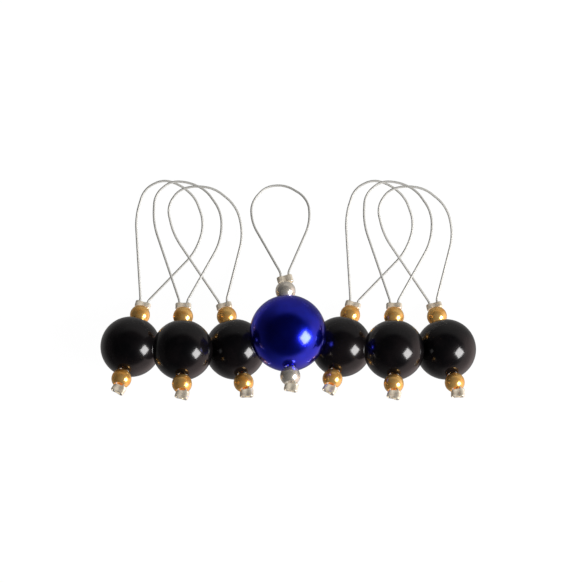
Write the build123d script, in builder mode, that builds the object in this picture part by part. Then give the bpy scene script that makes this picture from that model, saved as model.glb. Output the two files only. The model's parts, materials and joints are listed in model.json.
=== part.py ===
from build123d import *
import os
from math import asin, cos, degrees, dist, pi, radians, sin, sqrt, tan

# A set of seven beaded stitch markers, heaped as they lie on a table, in millimetres.
# Each marker is one doubled wire. Its bend is the loop that goes on the needle, and its
# two strands run through a crimp, a spacer, the bead, a second spacer and a last crimp.
# +Z is up, +X runs along the set, and +Y points from the beads to the loops.

# Beads and spacers
bead_diameter = 10.0
centre_bead_diameter = 12.65
spacer_diameter = 3.3
bore_lip = 0.1

# Wire
wire_diameter = 0.38
strand_spacing = 1.3
exit_length = 0.5
tail_length = 0.05

# Crimps, each a tube pressed flat over both strands
upper_crimp_width = 2.6
lower_crimp_width = 2.25
crimp_thickness = 0.95
crimp_waist = 0.7
crimp_waist_width = 0.9
crimp_length = 1.05
crimp_edge = 0.1

# Needle loops, from the bend at the crimp to the tip
loop_length = 19.95
loop_width = 11.4
centre_loop_length = 16.05
centre_loop_width = 9.65

# Clearances
bore_clearance = 0.06
channel_clearance = 0.015
thread_gap = 0.05
touch_gap = 0.05
lay_gap = 0.05

# How each crimp was pressed on, in degrees clockwise from square to the strands
upper_tilt_angle = 0.0
centre_upper_tilt_angle = -12.0
lower_tilt_angle = 15.0

# How the set lies, in degrees: each marker's turn on the table, how much further its loop
# turns, and the dip of a raised marker towards its loop
first_turn_angle = 15.7
middle_turn_angle = 0.6
last_turn_angle = -14.6
centre_turn_angle = -3.2
lean_angle = 2.0
centre_lean_angle = -1.0
middle_dip_angle = 30.0
centre_dip_angle = 25.0

# Bead places, as shares of the distance between the centres of two beads that touch
trio_step_share = 0.857
trio_forward_share = 0.043
middle_forward_share = -0.03
centre_step_share = 0.769
centre_forward_share = 0.217

# Loop outlines from the left strand round to the right one, as shares of half the width
# and of the length, and the length of two loops as shares of the first one's
loop_shares = [
    (-0.98, 0.64), (-0.98, 0.88), (-0.54, 1.0), (-0.02, 1.0),
    (0.50, 0.94), (1.0, 0.755), (1.0, 0.51),
]
centre_loop_shares = [
    (-0.98, 0.59), (-0.98, 0.82), (-0.43, 1.0), (0.26, 1.0), (1.0, 0.825), (1.0, 0.545),
]
middle_length_share = 1.01
last_length_share = 0.98
arc_share = 0.47
exit_arc_share = 0.9

wire_radius = wire_diameter / 2
bore_radius = strand_spacing / 2 + wire_radius + bore_clearance
channel_radius = wire_radius + channel_clearance
lay_step = wire_diameter + lay_gap
small_touch = bead_diameter + touch_gap
centre_touch = (bead_diameter + centre_bead_diameter) / 2 + touch_gap


def half_length(diameter):
    # Half of what a drilled ball takes up along its bore
    return sqrt((diameter / 2) ** 2 - bore_radius**2)


def spacer_place(diameter):
    return half_length(diameter) + thread_gap + half_length(spacer_diameter)


def crimp_reach(tilt, x):
    # How far a tilted crimp reaches along the strands, x out from its middle
    return crimp_length / 2 / cos(radians(tilt)) + x * tan(radians(tilt))


def crimp_place(diameter, tilt):
    # The crimp clears the rim of the spacer's bore, where it comes nearest to the spacer
    rim = spacer_place(diameter) + half_length(spacer_diameter) + thread_gap
    return rim + crimp_reach(abs(tilt), bore_radius)


def bend_place(diameter, tilt):
    last_exit = crimp_reach(abs(tilt), strand_spacing / 2)
    return crimp_place(diameter, tilt) + last_exit + exit_length


def wire_height(layer):
    # Height of a wire's centre line where it lies on the table or on other loops
    return wire_radius + layer * lay_step


def resting_dip(layer):
    # The dip that takes a bead on the table down to its own loop's layer
    bend = bend_place(bead_diameter, upper_tilt_angle)
    return degrees(asin((bead_diameter / 2 - wire_height(layer)) / bend))


def lying_plane(origin, turn, dip):
    # A plane whose Y runs to the loop, turned clockwise from +Y and dipping below level
    side = Vector(cos(radians(turn)), -sin(radians(turn)), 0)
    heading = Vector(sin(radians(turn)), cos(radians(turn)), 0)
    along = heading * cos(radians(dip)) - Vector(0, 0, sin(radians(dip)))
    return Plane(origin=origin, x_dir=side, z_dir=side.cross(along))


def marker(bead, centre, turn, dip, layer, tilt, lean, outline, length, width):
    body = lying_plane(centre, turn, dip)
    bend = body.from_local_coords((0, bend_place(bead, tilt), 0))
    slope = degrees(asin((bend.Z - wire_height(layer)) / length))
    loop = lying_plane(bend, turn + lean, slope)
    rim = [loop.from_local_coords((x * width / 2, y * length, 0)) for x, y in outline]
    return {"bead": bead, "body": body, "tilt": tilt, "rim": rim}


def cradled(left, right, touch, forward_share):
    # A bead held up by two others that lie side by side on the table
    across = right - left
    forward = Vector(-across.Y, across.X, 0).normalized() * touch * forward_share
    rise = sqrt(touch**2 - (across.length / 2) ** 2 - forward.length**2)
    return (left + right) / 2 + forward + Vector(0, 0, rise)


def trio(first_x, y):
    first = Vector(first_x, y + small_touch * trio_forward_share, bead_diameter / 2)
    last = Vector(first_x + 2 * small_touch * trio_step_share, y, bead_diameter / 2)
    middle = cradled(first, last, small_touch, middle_forward_share)
    lies = [
        (first, first_turn_angle, resting_dip(0), 0, 1),
        (middle, middle_turn_angle, middle_dip_angle, 2, middle_length_share),
        (last, last_turn_angle, resting_dip(1), 1, last_length_share),
    ]
    return [
        marker(bead_diameter, place, turn, dip, layer, upper_tilt_angle, lean_angle,
               loop_shares, loop_length * length_share, loop_width)
        for place, turn, dip, layer, length_share in lies
    ]


def lay_out(y):
    inner_x = centre_touch * centre_step_share
    outer_x = inner_x + 2 * small_touch * trio_step_share
    left = trio(-outer_x, y)
    right = trio(inner_x, y)
    centre = cradled(
        left[2]["body"].origin, right[0]["body"].origin, centre_touch, centre_forward_share
    )
    middle = marker(
        centre_bead_diameter, centre, centre_turn_angle, centre_dip_angle, 0,
        centre_upper_tilt_angle, centre_lean_angle,
        centre_loop_shares, centre_loop_length, centre_loop_width,
    )
    names = ["left_outer", "left_middle", "left_inner", "centre",
             "right_inner", "right_middle", "right_outer"]
    return dict(zip(names, left + [middle] + right))


def cut_end(each, x, z):
    # A point x across and z up at the lower crimp's open end, past which the strands are cut
    out = crimp_reach(lower_tilt_angle, x) + tail_length
    y = -crimp_place(each["bead"], lower_tilt_angle) - out
    return each["body"].from_local_coords((x, y, z))


def middle_y(markers):
    # The middle of the set from its furthest loop tip to its furthest crimp
    tips = [point.Y for each in markers.values() for point in each["rim"]]
    tails = [cut_end(each, strand_spacing / 2, -crimp_thickness / 2).Y for each in markers.values()]
    return (max(tips) + wire_radius + min(tails)) / 2


def route_of(each):
    # Corner points of the whole wire, from one cut end round the loop to the other
    side, bend = strand_spacing / 2, bend_place(each["bead"], each["tilt"])
    left, right = [each["body"].from_local_coords((x, bend, 0)) for x in (-side, side)]
    return [cut_end(each, -side, 0), left] + each["rim"] + [right, cut_end(each, side, 0)]


def route_radii(points):
    # The widest arc that each corner has room for; at the crimp only the exit is free
    radii = []
    for before, corner, after in zip(points, points[1:], points[2:]):
        turn = radians((corner - before).get_angle(after - corner))
        room = arc_share * min(dist(before, corner), dist(corner, after))
        if corner in (points[1], points[-2]):
            room = exit_arc_share * exit_length
        radii.append(room / tan(turn / 2))
    return radii


def plane_along(body, place, tilt):
    # A plane square to the strands, with its X across them, turned clockwise as seen from above
    along = body.y_dir * cos(radians(tilt)) + body.x_dir * sin(radians(tilt))
    across = body.x_dir * cos(radians(tilt)) - body.y_dir * sin(radians(tilt))
    return Plane(origin=body.from_local_coords((0, place, 0)), x_dir=across, z_dir=along)


def make_ball(name, body, place, diameter):
    centre = body.from_local_coords((0, place, 0))
    with BuildPart() as ball:
        with BuildSketch(Plane(origin=centre, x_dir=body.x_dir, z_dir=body.z_dir)):
            Circle(diameter / 2)
            with Locations((bore_radius, 0)):
                Rectangle(diameter, diameter, align=(Align.MAX, Align.CENTER), mode=Mode.SUBTRACT)
        revolve(axis=Axis(centre, body.y_dir))
        chamfer(ball.faces().filter_by(GeomType.CYLINDER).edges().filter_by(GeomType.CIRCLE), bore_lip)
    ball.part.label = name
    export_step(ball.part, f"parts/{name}.step")


def make_crimp(name, body, place, width, tilt):
    dent = (crimp_thickness - crimp_waist) / 2
    dent_radius = ((crimp_waist_width / 2) ** 2 + dent**2) / (2 * dent)
    dent_place = crimp_waist / 2 + dent_radius
    with BuildPart() as crimp:
        with BuildSketch(plane_along(body, place, tilt)):
            SlotOverall(width, crimp_thickness)
            with Locations((0, dent_place), (0, -dent_place)):
                Circle(dent_radius, mode=Mode.SUBTRACT)
        extrude(amount=crimp_length / 2, both=True)
        ends = crimp.faces().filter_by(Axis(body.origin, plane_along(body, place, tilt).z_dir))
        chamfer(ends.edges(), crimp_edge)
        with BuildSketch(plane_along(body, place, 0)):
            with Locations((-strand_spacing / 2, 0), (strand_spacing / 2, 0)):
                Circle(channel_radius)
        extrude(amount=crimp_length, both=True, mode=Mode.SUBTRACT)
    crimp.part.label = name
    export_step(crimp.part, f"parts/{name}.step")


def make_wire(name, each):
    points = route_of(each)
    radii = route_radii(points)
    with BuildPart() as wire:
        with BuildLine():
            route = FilletPolyline(*points, radius=radii)
        with BuildSketch(Plane(origin=route @ 0, z_dir=route % 0)):
            Circle(wire_radius)
        sweep(path=route)
    wire.part.label = name
    export_step(wire.part, f"parts/{name}.step")
    tube = route.length * pi * wire_radius**2
    print(name, "bends", [round(r, 1) for r in radii], "length", round(route.length, 1))
    print(name, "volume", round(wire.part.volume, 3), "section times length", round(tube, 3))


os.makedirs("parts", exist_ok=True)
markers = lay_out(-middle_y(lay_out(0)))

for name, each in markers.items():
    bead, body, tilt = each["bead"], each["body"], each["tilt"]
    upper, lower = crimp_place(bead, tilt), -crimp_place(bead, lower_tilt_angle)
    make_ball(f"{name}_bead", body, 0, bead)
    make_ball(f"{name}_upper_spacer", body, spacer_place(bead), spacer_diameter)
    make_ball(f"{name}_lower_spacer", body, -spacer_place(bead), spacer_diameter)
    make_crimp(f"{name}_upper_crimp", body, upper, upper_crimp_width, tilt)
    make_crimp(f"{name}_lower_crimp", body, lower, lower_crimp_width, lower_tilt_angle)
    make_wire(f"{name}_wire_loop", each)
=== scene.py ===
# Seven beaded stitch markers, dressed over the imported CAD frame. Metres, +Z up.
import json
import math
import random

import bpy
from mathutils import Matrix, Vector


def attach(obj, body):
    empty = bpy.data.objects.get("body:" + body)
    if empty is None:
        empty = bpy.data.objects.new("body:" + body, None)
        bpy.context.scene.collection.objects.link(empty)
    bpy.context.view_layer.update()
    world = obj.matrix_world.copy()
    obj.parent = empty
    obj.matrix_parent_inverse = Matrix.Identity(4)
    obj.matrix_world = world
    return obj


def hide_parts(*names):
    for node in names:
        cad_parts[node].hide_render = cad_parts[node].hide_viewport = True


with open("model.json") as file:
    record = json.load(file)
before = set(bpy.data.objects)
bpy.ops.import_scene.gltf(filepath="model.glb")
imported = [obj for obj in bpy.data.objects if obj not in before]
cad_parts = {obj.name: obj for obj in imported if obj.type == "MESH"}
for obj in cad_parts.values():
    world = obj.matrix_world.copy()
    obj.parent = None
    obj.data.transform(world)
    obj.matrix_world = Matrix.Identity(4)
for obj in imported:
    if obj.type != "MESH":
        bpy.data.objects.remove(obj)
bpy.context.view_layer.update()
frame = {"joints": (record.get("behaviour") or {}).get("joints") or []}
scene = bpy.context.scene
scene.view_settings.view_transform = "Standard"
joints = {joint["name"]: joint for joint in frame["joints"]}

mm = 0.001
markerNames = ["left_outer", "left_middle", "left_inner", "centre",
               "right_inner", "right_middle", "right_outer"]

# Camera: straight above the set, as in the photograph
cameraView = {
    "place": (0.000538, -0.000389, 1.5),
    "lens": 560.0,
    "sensor": 36.0,
    "clip": (0.01, 20.0),
}
cameraData = bpy.data.cameras.new("camera")
cameraData.lens = cameraView["lens"]
cameraData.sensor_width = cameraView["sensor"]
cameraData.clip_start, cameraData.clip_end = cameraView["clip"]
camera = bpy.data.objects.new("camera", cameraData)
camera.location = cameraView["place"]
scene.collection.objects.link(camera)
scene.camera = camera


# Node trees are written as sums: an operator on a Signal adds a Math node, with the Signal on
# either side of it
class Signal:
    def __init__(self, tree, socket):
        self.tree, self.socket = tree, socket

    def maths(self, operation, *values):
        return self.tree.node("ShaderNodeMath", {"operation": operation}, dict(enumerate(values)))

    def __add__(self, other):
        return self.maths("ADD", self, other)

    def __sub__(self, other):
        return self.maths("SUBTRACT", self, other)

    def __rsub__(self, other):
        return self.maths("SUBTRACT", other, self)

    def __mul__(self, other):
        return self.maths("MULTIPLY", self, other)

    __radd__, __rmul__ = __add__, __mul__


class Tree:
    def __init__(self, nodeTree):
        self.nodes, self.links = nodeTree.nodes, nodeTree.links
        self.nodes.clear()

    def node(self, kind, settings=None, inputs=None, output=0):
        made = self.nodes.new(kind)
        for key, value in (settings or {}).items():
            setattr(made, key, value)
        for key, value in (inputs or {}).items():
            if isinstance(value, Signal):
                self.links.new(value.socket, made.inputs[key])
            else:
                made.inputs[key].default_value = value
        return Signal(self, made.outputs[output]) if made.outputs else made

    def noise(self, at, scale, detail, roughness=0.5):
        return self.node("ShaderNodeTexNoise", None, {
            "Vector": at, "Scale": scale, "Detail": detail, "Roughness": roughness})

    def between(self, value, span):
        # 0 to 1 as the value goes from the span's first number to its second, eased
        return self.node("ShaderNodeMapRange", {"interpolation_type": "SMOOTHSTEP"}, {
            "Value": value, "From Min": span[0], "From Max": span[1]})

    def part(self, vector, axis):
        return self.node("ShaderNodeSeparateXYZ", None, {0: vector}, axis)

    def blend(self, share, first, second):
        return self.node("ShaderNodeMix", {"data_type": "RGBA"}, {0: share, 6: first, 7: second}, 2)


def newMaterial(name):
    material = bpy.data.materials.new(name)
    material.use_nodes = True
    return material, Tree(material.node_tree)


def shade(colour):
    return (*colour, 1.0)


white = shade((1.0, 1.0, 1.0))

# A white floor, one square soft lamp, and a room that shows in reflections: a dark ceiling, dim
# walls, a lighter table, and warm light under the lamp. Matt surfaces get one plain level from
# it, and the camera sees it white.
room = {
    "floorSize": 6.0,
    "floorDrop": 0.02 * mm,
    "floorColour": (0.82, 0.82, 0.82),
    "cameraShare": 0.955,
    "cameraStrength": 1.03,
    "fillLevel": 0.3,
    "ceiling": (0.022, 0.022, 0.024),
    "darkWalls": (0.075, 0.07, 0.072),
    "walls": (0.21, 0.205, 0.2),
    "farWall": (0.33, 0.32, 0.315),
    "table": (0.24, 0.232, 0.228),
    "underLamp": (0.85, 0.7, 0.68),
}
# Where each part of the room fades in, along X, Y and the height of a direction, all from -1
# to 1. The walls' line slants, and the lamp's line runs right and near by its bearing.
roomFades = {
    "wallsSlant": 0.4,
    "walls": (-0.6, 0.45),
    "ceiling": (0.0, 0.5),
    "farWallAhead": (0.1, 0.75),
    "farWallHeight": (0.6, 0.25),
    "farWallAcross": (-0.95, 0.1),
    "table": (-0.15, -0.65),
    "lampBearing": (0.85, 0.53),
    "lampSide": (0.25, 0.85),
    "lampHeight": (0.4, 0.1),
}
softbox = {
    "direction": (0.797, -0.212, 0.566),
    "distance": 0.6,
    "side": 0.285,
    "watts": 5.1,
    "turn": math.radians(60),
    "colour": (1.0, 0.985, 0.98),
}


def makeFloor():
    half = room["floorSize"] / 2
    mesh = bpy.data.meshes.new("floor")
    corners = [(-half, -half), (half, -half), (half, half), (-half, half)]
    mesh.from_pydata([(x, y, -room["floorDrop"]) for x, y in corners], [], [(0, 1, 2, 3)])
    floor = bpy.data.objects.new("floor", mesh)
    scene.collection.objects.link(floor)
    material, tree = newMaterial("whiteSweep")
    isCamera = tree.node("ShaderNodeLightPath", output="Is Camera Ray")
    paper = tree.node("ShaderNodeBsdfDiffuse", None, {"Color": shade(room["floorColour"])})
    glow = tree.node("ShaderNodeEmission", None, {
        "Color": white, "Strength": room["cameraStrength"]})
    lit = tree.node("ShaderNodeMixShader", None, {
        0: isCamera * room["cameraShare"], 1: paper, 2: glow})
    tree.node("ShaderNodeOutputMaterial", None, {"Surface": lit})
    mesh.materials.append(material)
    floor.visible_glossy = False
    return floor


def makeRoom():
    world = bpy.data.worlds.new("room")
    world.use_nodes = True
    scene.world = world
    tree = Tree(world.node_tree)
    direction = tree.node("ShaderNodeTexCoord", output="Generated")
    x, y, height = [tree.part(direction, axis) for axis in "XYZ"]

    def fade(value, part):
        return tree.between(value, roomFades[part])

    walls = tree.blend(fade(x - y * roomFades["wallsSlant"], "walls"),
                       shade(room["darkWalls"]), shade(room["walls"]))
    seen = tree.blend(fade(height, "ceiling"), walls, shade(room["ceiling"]))
    far = fade(y, "farWallAhead") * fade(height, "farWallHeight") * fade(x, "farWallAcross")
    seen = tree.blend(far, seen, shade(room["farWall"]))
    seen = tree.blend(fade(height, "table"), seen, shade(room["table"]))
    right, near = roomFades["lampBearing"]
    warm = fade(x * right - y * near, "lampSide") * fade(height, "lampHeight")
    seen = tree.blend(warm, seen, shade(room["underLamp"]))
    isCamera = tree.node("ShaderNodeLightPath", output="Is Camera Ray")
    isDiffuse = tree.node("ShaderNodeLightPath", output="Is Diffuse Ray")
    seen = tree.blend(isDiffuse, seen, shade((room["fillLevel"],) * 3))
    seen = tree.blend(isCamera, seen, white)
    light = tree.node("ShaderNodeBackground", None, {"Color": seen, "Strength": 1.0})
    tree.node("ShaderNodeOutputWorld", None, {"Surface": light})


def makeSoftbox(name):
    data = bpy.data.lights.new(name, "AREA")
    data.shape, data.size = "SQUARE", softbox["side"]
    data.energy, data.color = softbox["watts"], softbox["colour"]
    lamp = bpy.data.objects.new(name, data)
    scene.collection.objects.link(lamp)
    direction = Vector(softbox["direction"]).normalized()
    facing = direction.to_track_quat("Z", "Y").to_matrix().to_4x4()
    lamp.matrix_world = (Matrix.Translation(direction * softbox["distance"]) @ facing
                         @ Matrix.Rotation(softbox["turn"], 4, "Z"))
    lamp.visible_camera = False
    return lamp


def linkLight(name, members, state):
    linked = bpy.data.collections.new(name)
    for member in members:
        linked.objects.link(member)
    for member in linked.collection_objects:
        member.light_linking.link_state = state
    return linked


def lightEachAlone(pieces):
    # The photo shows the lamp in every bead, so no piece shades another one from it. Its twin
    # lights the floor alone and gives the set its shadow.
    pieceLamp, floorLamp = makeSoftbox("softbox"), makeSoftbox("floor_softbox")
    pieceLamp.light_linking.blocker_collection = linkLight("let_light_past", pieces, "EXCLUDE")
    pieceLamp.light_linking.receiver_collection = linkLight("not_the_floor", [floor], "EXCLUDE")
    floorLamp.light_linking.receiver_collection = linkLight("only_the_floor", [floor], "INCLUDE")


floor = makeFloor()
makeRoom()
print("camera, floor and room made")

# Finishes. Each noise is given by its scale per metre, its detail and its roughness.
lacquers = {
    "black_lacquer": {
        "deep": (0.002, 0.002, 0.0025),
        "tint": (0.008, 0.006, 0.0065),
        "metallic": 0.3,
        "specular": 0.04,
        "edge": (1.0, 1.0, 1.0),
        "roughness": 0.34,
        "bump": 0.02,
        "coatIor": 1.41,
    },
    "blue_lacquer": {
        "deep": (0.006, 0.009, 0.5),
        "tint": (0.01, 0.026, 0.8),
        "metallic": 0.98,
        "specular": 0.5,
        "edge": (0.04, 0.05, 0.9),
        "roughness": 0.23,
        "bump": 0.02,
        "coatIor": 1.35,
    },
}
lacquerGrain = {
    "cloud": (260.0, 3.0),
    "flake": (9000.0, 1.0),
    "flakeShare": 0.3,
    "tintSpan": (0.35, 0.65),
    "haze": (900.0, 4.0, 0.6),
    "hazeRange": 0.08,
    "ripple": (650.0, 1.0),
    "rippleDepth": 0.2 * mm,
    "coatRoughness": 0.14,
}
plates = {
    "gold_plate": {
        "bright": (1.0, 0.61, 0.2),
        "dull": (1.0, 0.43, 0.07),
        "roughness": (0.2, 0.33),
        "metallic": 0.72,
    },
    "silver_plate": {
        "bright": (0.93, 0.87, 0.77),
        "dull": (0.76, 0.68, 0.56),
        "roughness": (0.2, 0.32),
        "metallic": 0.78,
    },
    "crimp_metal": {
        "bright": (0.95, 0.86, 0.7),
        "dull": (0.68, 0.58, 0.44),
        "roughness": (0.3, 0.45),
        "metallic": 0.5,
    },
}
plateGrain = {
    "smear": (700.0, 4.0, 0.6),
    "fine": (5200.0, 3.0, 0.6),
    "fineShare": 0.25,
    "wornSpan": (0.4, 0.68),
    "dents": (1100.0, 2.0),
    "dentDepth": 0.1 * mm,
    "fineDents": 0.1,
    "bump": 0.12,
}
wireFinish = {
    "steel": (0.53, 0.524, 0.492),
    # Painted shade: the colour of the grooves between the strands, darker than the steel
    "grooveShade": (0.475, 0.47, 0.44),
    "strands": 6,
    "layLength": 2.4 * mm,
    "grime": (800.0, 3.0),
    "grimeShare": 0.2,
    "strandSpan": (0.1, 0.75),
    "metallic": 0.2,
    "roughness": 0.45,
    "grimeRoughness": 0.15,
    "coatWeight": 0.3,
    "coatRoughness": 0.3,
}
cutSteel = {
    "dark": (0.5, 0.5, 0.5),
    "bright": (0.75, 0.75, 0.74),
    "cut": (9000.0, 3.0),
    "roughness": 0.2,
    "cutRoughness": 0.3,
}


def makeLacquer(name):
    look, grain = lacquers[name], lacquerGrain
    material, tree = newMaterial(name)
    at = tree.node("ShaderNodeTexCoord", output="Object")
    cloud = tree.noise(at, *grain["cloud"])
    flake = tree.noise(at, *grain["flake"])
    haze = tree.noise(at, *grain["haze"])
    mix = cloud * (1 - grain["flakeShare"]) + flake * grain["flakeShare"]
    colour = tree.blend(tree.between(mix, grain["tintSpan"]),
                        shade(look["deep"]), shade(look["tint"]))
    ripple = tree.noise(at, *grain["ripple"])
    surface = tree.node("ShaderNodeBump", None, {
        "Strength": look["bump"], "Distance": grain["rippleDepth"], "Height": ripple})
    bsdf = tree.node("ShaderNodeBsdfPrincipled", None, {
        "Base Color": colour,
        "Metallic": look["metallic"],
        "Roughness": haze * grain["hazeRange"] + (look["roughness"] - grain["hazeRange"] / 2),
        "Specular IOR Level": look["specular"],
        "Specular Tint": shade(look["edge"]),
        "Coat Weight": 1.0,
        "Coat Roughness": grain["coatRoughness"],
        "Coat IOR": look["coatIor"],
        "Normal": surface,
    })
    tree.node("ShaderNodeOutputMaterial", None, {"Surface": bsdf})
    return material


def makePlate(name):
    look, grain = plates[name], plateGrain
    material, tree = newMaterial(name)
    at = tree.node("ShaderNodeTexCoord", output="Object")
    smear = tree.noise(at, *grain["smear"])
    fine = tree.noise(at, *grain["fine"])
    wear = smear * (1 - grain["fineShare"]) + fine * grain["fineShare"]
    worn = tree.between(wear, grain["wornSpan"])
    low, high = look["roughness"]
    dents = tree.noise(at, *grain["dents"]) + fine * grain["fineDents"]
    surface = tree.node("ShaderNodeBump", None, {
        "Strength": grain["bump"], "Distance": grain["dentDepth"], "Height": dents})
    bsdf = tree.node("ShaderNodeBsdfPrincipled", None, {
        "Base Color": tree.blend(worn, shade(look["bright"]), shade(look["dull"])),
        "Metallic": look["metallic"],
        "Roughness": worn * (high - low) + low,
        "Normal": surface,
    })
    tree.node("ShaderNodeOutputMaterial", None, {"Surface": bsdf})
    return material


def makeWireFinish():
    # The strands' twist shows through the clear coat as painted shade: the grooves between the
    # strands are coloured darker than their crests. The lay attribute, stored by wireTree, holds
    # the cosine and sine of the angle round the wire, and the length along it.
    look = wireFinish
    material, tree = newMaterial("coated_wire")
    lay = tree.node("ShaderNodeAttribute", {"attribute_name": "lay"}, None, "Vector")
    cosine, sine, along = [tree.part(lay, axis) for axis in "XYZ"]
    turn = sine.maths("ARCTAN2", sine, cosine)
    pitch = look["layLength"] / look["strands"]
    phase = turn * look["strands"] + along * (2 * math.pi / pitch)
    strandShading = phase.maths("SINE", phase) * 0.5 + 0.5
    at = tree.node("ShaderNodeTexCoord", output="Object")
    grime = tree.noise(at, *look["grime"])
    mix = strandShading * (1 - look["grimeShare"]) + grime * look["grimeShare"]
    # Painted shade darkens the grooves along the twist, with real grime mixed into the same mask
    colour = tree.blend(tree.between(mix, look["strandSpan"]),
                        shade(look["grooveShade"]), shade(look["steel"]))
    bsdf = tree.node("ShaderNodeBsdfPrincipled", None, {
        "Base Color": colour,
        "Metallic": look["metallic"],
        "Roughness": grime * look["grimeRoughness"] + look["roughness"],
        "Coat Weight": look["coatWeight"],
        "Coat Roughness": look["coatRoughness"],
    })
    tree.node("ShaderNodeOutputMaterial", None, {"Surface": bsdf})
    return material


def makeCutSteel():
    material, tree = newMaterial("cut_steel")
    at = tree.node("ShaderNodeTexCoord", output="Object")
    cut = tree.noise(at, *cutSteel["cut"])
    bsdf = tree.node("ShaderNodeBsdfPrincipled", None, {
        "Base Color": tree.blend(cut, shade(cutSteel["dark"]), shade(cutSteel["bright"])),
        "Metallic": 1.0,
        "Roughness": cut * cutSteel["cutRoughness"] + cutSteel["roughness"],
    })
    tree.node("ShaderNodeOutputMaterial", None, {"Surface": bsdf})
    return material


finishes = {name: makeLacquer(name) for name in lacquers}
finishes.update({name: makePlate(name) for name in plates})
finishes["coated_wire"] = makeWireFinish()
finishes["cut_steel"] = makeCutSteel()
print("finishes made:", ", ".join(finishes))


def markerFrame(name):
    # A marker's own frame: X across its strands, Y along them to the loop
    joint = joints[f"{name}_bead_spin"]
    along = Vector(joint["axis"]).normalized()
    across = along.cross((0, 0, 1)).normalized()
    turn = Matrix([across, along, across.cross(along)]).transposed().to_4x4()
    return Matrix.Translation(joint["pos_m"]) @ turn


dressed = []


def finishPiece(piece, body, node):
    scene.collection.objects.link(piece)
    dressed.append(piece)
    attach(piece, body)
    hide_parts(node)


# Beads and spacers: drilled balls turned from one closed outline
ball = {
    "beadDiameter": 9.99 * mm,
    "centreBeadDiameter": 12.64 * mm,
    "spacerDiameter": 3.3 * mm,
    "bore": 0.9 * mm,
    "beadLip": 0.08 * mm,
    "spacerLip": 0.07 * mm,
    "threadGap": 0.05 * mm,
    "beadSteps": 72,
    "beadSides": 144,
    "spacerSteps": 44,
    "spacerSides": 96,
    "lipSteps": 6,
    "boreSteps": 8,
}


def ballOutline(diameter, lip, steps):
    # Places along the bore and out from it: over the ball, round a lip, back through the bore
    radius, bore, count = diameter / 2, ball["bore"], ball["lipSteps"]
    lipPlace = math.sqrt((radius - lip) ** 2 - (bore + lip) ** 2)
    meet = math.atan2(bore + lip, lipPlace)

    def lipPoint(side, angle):
        return side * (lipPlace + lip * math.cos(angle)), bore + lip + lip * math.sin(angle)

    over = [meet + (math.pi - 2 * meet) * i / steps for i in range(steps + 1)]
    outline = [(radius * math.cos(angle), radius * math.sin(angle)) for angle in over]
    turns = [meet - (meet + math.pi / 2) * i / count for i in range(1, count + 1)]
    outline += [lipPoint(-1, angle) for angle in turns]
    outline += [(lipPlace * (2 * i / ball["boreSteps"] - 1), bore)
                for i in range(1, ball["boreSteps"])]
    outline += [lipPoint(1, angle) for angle in reversed(turns)]
    return outline


def turnBall(name, place, outline, sides, material):
    verts, faces, count = [], [], len(outline)
    for i in range(sides):
        angle = 2 * math.pi * i / sides
        side = Vector((math.cos(angle), 0, math.sin(angle)))
        verts += [place @ (side * out + Vector((0, along, 0))) for along, out in outline]
    for i in range(sides):
        near, far = i * count, (i + 1) % sides * count
        for j in range(count):
            k = (j + 1) % count
            faces.append((near + j, far + j, far + k, near + k))
    mesh = bpy.data.meshes.new(name)
    mesh.from_pydata(verts, [], faces)
    layer = mesh.uv_layers.new(name="turned")
    for face in mesh.polygons:
        i, j = divmod(face.index, count)
        corners = [(i, j), (i + 1, j), (i + 1, j + 1), (i, j + 1)]
        for loop, (u, v) in zip(face.loop_indices, corners):
            layer.data[loop].uv = (u / sides, v / count)
    smooth(mesh)
    mesh.materials.append(material)
    return bpy.data.objects.new(name, mesh)


def smooth(mesh):
    mesh.polygons.foreach_set("use_smooth", [True] * len(mesh.polygons))
    mesh.validate()
    mesh.update()


def beadSize(name):
    return ball["centreBeadDiameter"] if name == "centre" else ball["beadDiameter"]


def halfLength(diameter):
    return math.sqrt((diameter / 2) ** 2 - ball["bore"] ** 2)


def spacerPlace(bead):
    return halfLength(bead) + ball["threadGap"] + halfLength(ball["spacerDiameter"])


spacerOutline = ballOutline(ball["spacerDiameter"], ball["spacerLip"], ball["spacerSteps"])
for name in markerNames:
    place, isCentre = markerFrame(name), name == "centre"
    lacquer = "blue_lacquer" if isCentre else "black_lacquer"
    plate = "silver_plate" if isCentre else "gold_plate"
    outline = ballOutline(beadSize(name), ball["beadLip"], ball["beadSteps"])
    bead = turnBall(f"{name}_lacquered_bead", place, outline, ball["beadSides"], finishes[lacquer])
    finishPiece(bead, f"{name}_bead", f"{name}_bead")
    for end, side in (("upper", 1), ("lower", -1)):
        there = place @ Matrix.Translation((0, side * spacerPlace(beadSize(name)), 0))
        spacer = turnBall(f"{name}_{end}_plated_spacer", there, spacerOutline,
                          ball["spacerSides"], finishes[plate])
        finishPiece(spacer, f"{name}_{end}_spacer", f"{name}_{end}_spacer")
print("beads and spacers turned")

# Crimps: a tube pressed flat over both strands, open and hollow at each end
crimp = {
    "upperWidth": 2.6 * mm,
    "lowerWidth": 2.25 * mm,
    "thickness": 0.95 * mm,
    "waist": 0.74 * mm,
    "waistReach": 0.62 * mm,
    "length": 1.05 * mm,
    "edge": 0.17 * mm,
    "innerEdge": 0.08 * mm,
    "wall": 0.25 * mm,
    "openRecess": 0.3 * mm,
    "seatedRecess": 0.1 * mm,
    "seatedShare": 0.85,
    "upperFlare": 0.0,
    "lowerFlare": 0.55,
    "squeeze": 0.06,
    "lean": 0.06,
    "jawMarks": 3,
    "jawDepth": 0.012 * mm,
    "edgeSteps": 6,
    "capSteps": 16,
    "topSteps": 24,
    "lengthSteps": 22,
    "seed": 5,
}
tilts = {"upper": 0.0, "centreUpper": math.radians(-12), "lower": math.radians(15)}
chance = random.Random(crimp["seed"])


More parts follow.
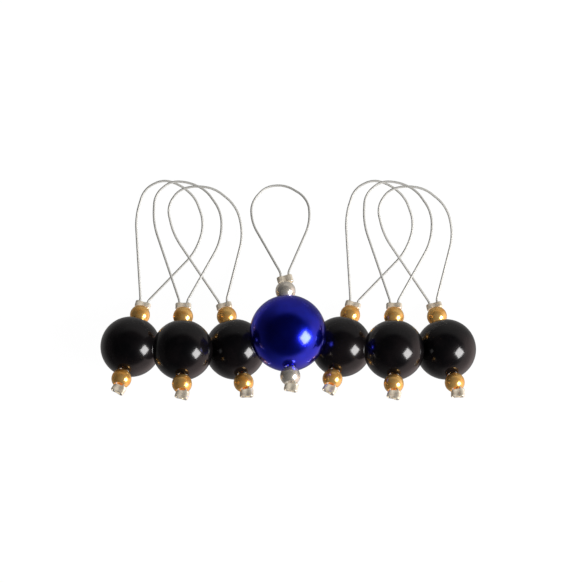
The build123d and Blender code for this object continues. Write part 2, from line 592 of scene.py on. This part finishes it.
def crimpOutline(width, thickness, waist):
    # Round lobes over the two strands with a dip between them, anticlockwise from the right
    lobe = thickness / 2
    middle, dent = width / 2 - lobe, (thickness - waist) / 2
    points = []
    for side in (1, -1):
        for i in range(crimp["capSteps"]):
            angle = -math.pi / 2 + math.pi * i / crimp["capSteps"]
            points.append((side * (middle + lobe * math.cos(angle)), side * lobe * math.sin(angle)))
        for i in range(crimp["topSteps"]):
            x = middle * (1 - 2 * i / crimp["topSteps"])
            dip = 0.5 + 0.5 * math.cos(math.pi * min(1, abs(x) / crimp["waistReach"]))
            points.append((side * x, side * (lobe - dent * dip)))
    return points


def crimpRings(openSide):
    # Place along the tube and how far in from its skin, from one hollow end to the other
    half, outer, inner = crimp["length"] / 2, crimp["edge"], crimp["innerEdge"]
    wall, turns, steps = crimp["wall"], crimp["edgeSteps"], crimp["lengthSteps"]
    quarter = [math.pi / 2 * i / turns for i in range(turns + 1)]
    lip = [(inner * (1 - math.sin(a)) - half, wall - inner * (1 - math.cos(a))) for a in quarter]
    lip += [(outer * (1 - math.cos(a)) - half, outer * (1 - math.sin(a))) for a in quarter[1:]]
    span = 2 * (half - outer)
    skin = [(outer - half + span * i / steps, 0) for i in range(1, steps)]
    openEnd = [(crimp["openRecess"] - half, wall)] + lip
    seatedEnd = [(crimp["seatedRecess"] - half, wall)] + lip
    near, far = (seatedEnd, openEnd) if openSide > 0 else (openEnd, seatedEnd)
    return near + skin + [(-along, inset) for along, inset in reversed(far)]


def makeCrimp(name, place, end, tilt):
    verts, faces, half = [], [], crimp["length"] / 2
    width, flare = crimp[f"{end}Width"], crimp[f"{end}Flare"]
    openSide = 1 if end == "upper" else -1
    lean = chance.uniform(-crimp["lean"], crimp["lean"])
    for along, inset in crimpRings(openSide):
        # The end by the spacer stays rounder, and a tilted one reaches over to the spacer
        seated = max(0, -openSide * along / half)
        pinch = 1 - crimp["squeeze"] * (1 - (along / half) ** 2) + flare * seated**2
        dent = (crimp["thickness"] - crimp["waist"]) * (1 - flare * seated)
        thickness = crimp["thickness"] * pinch - 2 * inset
        outline = crimpOutline(width - 2 * inset, thickness, thickness - dent)
        for x, z in outline:
            if inset == 0:
                jaw = math.cos(2 * math.pi * crimp["jawMarks"] * along / crimp["length"])
                z *= 1 - crimp["jawDepth"] / crimp["thickness"] * (1 + jaw)
            z *= 1 + lean * x / width
            gap = ball["bore"] * abs(math.tan(tilt)) - openSide * x * math.tan(tilt)
            reach = max(0, gap) * seated * crimp["seatedShare"]
            verts.append(place @ Vector((x, along - openSide * reach, z)))
    count, rings = len(outline), len(verts) // len(outline)
    for i in range(rings - 1):
        for j in range(count):
            k = (j + 1) % count
            faces.append((i * count + j, i * count + k, (i + 1) * count + k, (i + 1) * count + j))
    faces.append(tuple(range(count)))
    faces.append(tuple(reversed(range((rings - 1) * count, rings * count))))
    mesh = bpy.data.meshes.new(name)
    mesh.from_pydata(verts, [], faces)
    smooth(mesh)
    mesh.materials.append(finishes["crimp_metal"])
    return bpy.data.objects.new(name, mesh)


def crimpReach(tilt, x):
    return crimp["length"] / 2 / math.cos(tilt) + x * math.tan(tilt)


def crimpPlace(bead, tilt):
    rim = spacerPlace(bead) + halfLength(ball["spacerDiameter"]) + ball["threadGap"]
    return rim + crimpReach(abs(tilt), ball["bore"])


def upperTilt(name):
    return tilts["centreUpper"] if name == "centre" else tilts["upper"]


for name in markerNames:
    for end, side, tilt in (("upper", 1, upperTilt(name)), ("lower", -1, tilts["lower"])):
        there = (markerFrame(name)
                 @ Matrix.Translation((0, side * crimpPlace(beadSize(name), tilt), 0))
                 @ Matrix.Rotation(-tilt, 4, "Z"))
        piece = makeCrimp(f"{name}_{end}_pressed_crimp", there, end, tilt)
        finishPiece(piece, f"{name}_wire", f"{name}_{end}_crimp")
print("crimps pressed")

# Wires: each runs from its cut end up through everything, round the loop and back
wire = {
    "diameter": 0.38 * mm,
    "spacing": 1.3 * mm,
    "exit": 0.5 * mm,
    "tail": 0.02 * mm,
    "layStep": 0.43 * mm,
    "arcShare": 0.47,
    "exitShare": 0.9,
    "arcSteps": 24,
    "sides": 20,
    "filaments": 6,
    "filamentPitch": 0.115 * mm,
    "filamentRadius": 0.052 * mm,
    "filamentLength": 0.04 * mm,
    "filamentStretch": (0.7, 1.3),
    "filamentSides": 10,
    "seed": 3,
}
loops = {
    "length": 19.95 * mm,
    "width": 11.4 * mm,
    "lean": math.radians(2.0),
    "shares": [(-0.98, 0.64), (-0.98, 0.88), (-0.54, 1.0), (-0.02, 1.0),
               (0.50, 0.94), (1.0, 0.755), (1.0, 0.51)],
}
centreLoop = {
    "length": 16.05 * mm,
    "width": 9.65 * mm,
    "lean": math.radians(-1.0),
    "shares": [(-0.98, 0.59), (-0.98, 0.82), (-0.43, 1.0), (0.26, 1.0),
               (1.0, 0.825), (1.0, 0.545)],
}
# Each loop's layer on the table, and its length as a share of the first one's
lies = {"outer": (0, 1.0), "middle": (2, 1.01), "inner": (1, 0.98), "centre": (0, 1.0)}


def lieOf(name):
    # The two trios lie alike, each from its left marker to its right one
    if name in ("left_outer", "right_inner"):
        return lies["outer"]
    if name in ("left_inner", "right_outer"):
        return lies["inner"]
    return lies["centre" if name == "centre" else "middle"]


def wireRoute(name):
    bead, place, (layer, share) = beadSize(name), markerFrame(name), lieOf(name)
    shape = centreLoop if name == "centre" else loops
    length, side = shape["length"] * share, wire["spacing"] / 2
    upper, lower = upperTilt(name), tilts["lower"]
    bend = crimpPlace(bead, upper) + crimpReach(abs(upper), side) + wire["exit"]
    along = place.to_3x3().col[1]
    turn = math.atan2(along.x, along.y) + shape["lean"]
    start = place @ Vector((0, bend, 0))
    slope = math.asin((start.z - wire["diameter"] / 2 - layer * wire["layStep"]) / length)
    across = Vector((math.cos(turn), -math.sin(turn), 0))
    away = Vector((math.sin(turn) * math.cos(slope), math.cos(turn) * math.cos(slope),
                   -math.sin(slope)))
    rim = [start + across * (x * shape["width"] / 2) + away * (y * length)
           for x, y in shape["shares"]]

    def cutEnd(x):
        out = crimpPlace(bead, lower) + crimpReach(lower, x) + wire["tail"]
        return place @ Vector((x, -out, 0))

    bends = [place @ Vector((x, bend, 0)) for x in (-side, side)]
    return [cutEnd(-side), bends[0], *rim, bends[1], cutEnd(side)]


def routeRadii(points):
    # The widest arc that each corner has room for; at the crimp only the exit is free
    radii = [0.0]
    for i in range(1, len(points) - 1):
        back, on = points[i - 1] - points[i], points[i + 1] - points[i]
        turn = math.pi - back.angle(on)
        room = wire["arcShare"] * min(back.length, on.length)
        if i in (1, len(points) - 2):
            room = wire["exitShare"] * wire["exit"]
        radii.append(room / math.tan(turn / 2))
    return radii + [0.0]


def wireTree():
    group = bpy.data.node_groups.new("strungWire", "GeometryNodeTree")
    group.is_modifier = True
    sockets = {}
    for label, kind in (("Route", "Geometry"), ("Thickness", "Float"), ("Sides", "Int"),
                        ("Filament Pitch", "Float"), ("Filament Radius", "Float"),
                        ("Filament Length", "Float"), ("Seed", "Int"),
                        ("Coat", "Material"), ("Core", "Material")):
        made = group.interface.new_socket(label, in_out="INPUT", socket_type=f"NodeSocket{kind}")
        sockets[label] = made.identifier
    group.interface.new_socket("Wire", in_out="OUTPUT", socket_type="NodeSocketGeometry")
    tree = Tree(group)
    given = group.nodes.new("NodeGroupInput")

    def value(label):
        return Signal(tree, given.outputs[label])

    def stored(kind, name):
        return tree.node("GeometryNodeInputNamedAttribute", {"data_type": kind}, {"Name": name})

    def store(geometry, kind, name, amount):
        return tree.node("GeometryNodeStoreNamedAttribute",
                         {"data_type": kind, "domain": "POINT"},
                         {"Geometry": geometry, "Name": name, "Value": amount})

    def join(*parts):
        joined = tree.nodes.new("GeometryNodeJoinGeometry")
        for part in parts:
            tree.links.new(part.socket, joined.inputs[0])
        return Signal(tree, joined.outputs[0])

    # The route, rounded at its corners, and a ring swept along it as the coated tube
    corners = tree.node("GeometryNodeMeshToCurve", None, {"Mesh": value("Route")})
    route = tree.node("GeometryNodeFilletCurve", {"mode": "POLY"}, {
        "Curve": corners, "Count": wire["arcSteps"], "Radius": stored("FLOAT", "bend"),
        "Limit Radius": False})
    length = tree.node("GeometryNodeSplineParameter", output="Length")
    route = store(route, "FLOAT", "run", length)
    ring = tree.node("GeometryNodeCurvePrimitiveCircle", {"mode": "RADIUS"}, {
        "Resolution": value("Sides"), "Radius": value("Thickness") * 0.5})
    angle = tree.node("GeometryNodeSplineParameter", output="Factor") * (2 * math.pi)
    spot = tree.node("ShaderNodeCombineXYZ", None, {
        "X": angle.maths("COSINE", angle), "Y": angle.maths("SINE", angle)})
    ring = store(ring, "FLOAT_VECTOR", "round", spot)
    tube = tree.node("GeometryNodeCurveToMesh", None, {
        "Curve": route, "Profile Curve": ring, "Fill Caps": True})
    around = stored("FLOAT_VECTOR", "round")
    lay = tree.node("ShaderNodeCombineXYZ", None, {
        "X": tree.part(around, "X"), "Y": tree.part(around, "Y"), "Z": stored("FLOAT", "run")})
    tube = store(tube, "FLOAT_VECTOR", "lay", lay)
    tube = tree.node("GeometryNodeSetShadeSmooth", None, {"Geometry": tube})
    tube = tree.node("GeometryNodeSetMaterial", None, {"Geometry": tube, "Material": value("Coat")})

    # The cut filaments, a ring of them round one, stand a little proud of each end
    outer = tree.node("GeometryNodeMeshCircle", {"fill_type": "NONE"}, {
        "Vertices": wire["filaments"], "Radius": value("Filament Pitch")})
    middle = tree.node("GeometryNodeMeshLine", None, {"Count": 1})
    rod = tree.node("GeometryNodeMeshCylinder", None, {
        "Vertices": wire["filamentSides"], "Radius": value("Filament Radius"),
        "Depth": value("Filament Length")})
    least, most = wire["filamentStretch"]
    reach = tree.node("FunctionNodeRandomValue", {"data_type": "FLOAT"}, {
        2: least, 3: most, "Seed": value("Seed")}, 1)
    stretch = tree.node("ShaderNodeCombineXYZ", None, {"X": 1.0, "Y": 1.0, "Z": reach})
    bundle = tree.node("GeometryNodeInstanceOnPoints", None, {
        "Points": join(middle, outer), "Instance": rod, "Scale": stretch})
    ends = tree.node("GeometryNodeCurveEndpointSelection", None, {"Start Size": 1, "End Size": 1})
    heading = tree.node("GeometryNodeInputTangent")
    facing = tree.node("FunctionNodeAlignRotationToVector", {"axis": "Z"}, {"Vector": heading})
    cut = tree.node("GeometryNodeInstanceOnPoints", None, {
        "Points": route, "Selection": ends, "Instance": bundle, "Rotation": facing})
    cut = tree.node("GeometryNodeRealizeInstances", None, {"Geometry": cut})
    cut = tree.node("GeometryNodeSetMaterial", None, {"Geometry": cut, "Material": value("Core")})
    done = tree.node("GeometryNodeRealizeInstances", None, {"Geometry": join(tube, cut)})
    out = tree.nodes.new("NodeGroupOutput")
    tree.links.new(done.socket, out.inputs[0])
    return group, sockets


wireGroup, wireSockets = wireTree()


def makeWire(name, seed):
    points = wireRoute(name)
    mesh = bpy.data.meshes.new(f"{name}_route")
    mesh.from_pydata(points, [(i, i + 1) for i in range(len(points) - 1)], [])
    bend = mesh.attributes.new("bend", "FLOAT", "POINT")
    bend.data.foreach_set("value", routeRadii(points))
    guide = bpy.data.objects.new(f"{name}_route", mesh)
    scene.collection.objects.link(guide)
    modifier = guide.modifiers.new("strungWire", "NODES")
    modifier.node_group = wireGroup
    for label, value in (("Thickness", wire["diameter"]), ("Sides", wire["sides"]),
                         ("Filament Pitch", wire["filamentPitch"]),
                         ("Filament Radius", wire["filamentRadius"]),
                         ("Filament Length", wire["filamentLength"]), ("Seed", seed),
                         ("Coat", finishes["coated_wire"]), ("Core", finishes["cut_steel"])):
        modifier[wireSockets[label]] = value
    graph = bpy.context.evaluated_depsgraph_get()
    made = bpy.data.meshes.new_from_object(guide.evaluated_get(graph), depsgraph=graph)
    bpy.data.objects.remove(guide)
    piece = bpy.data.objects.new(f"{name}_strung_wire", made)
    finishPiece(piece, f"{name}_wire", f"{name}_wire_loop")
    return made


for i, name in enumerate(markerNames):
    made = makeWire(name, wire["seed"] + i)
print("wires strung, the last with", len(made.polygons), "faces")

lightEachAlone(dressed)
bpy.context.view_layer.update()
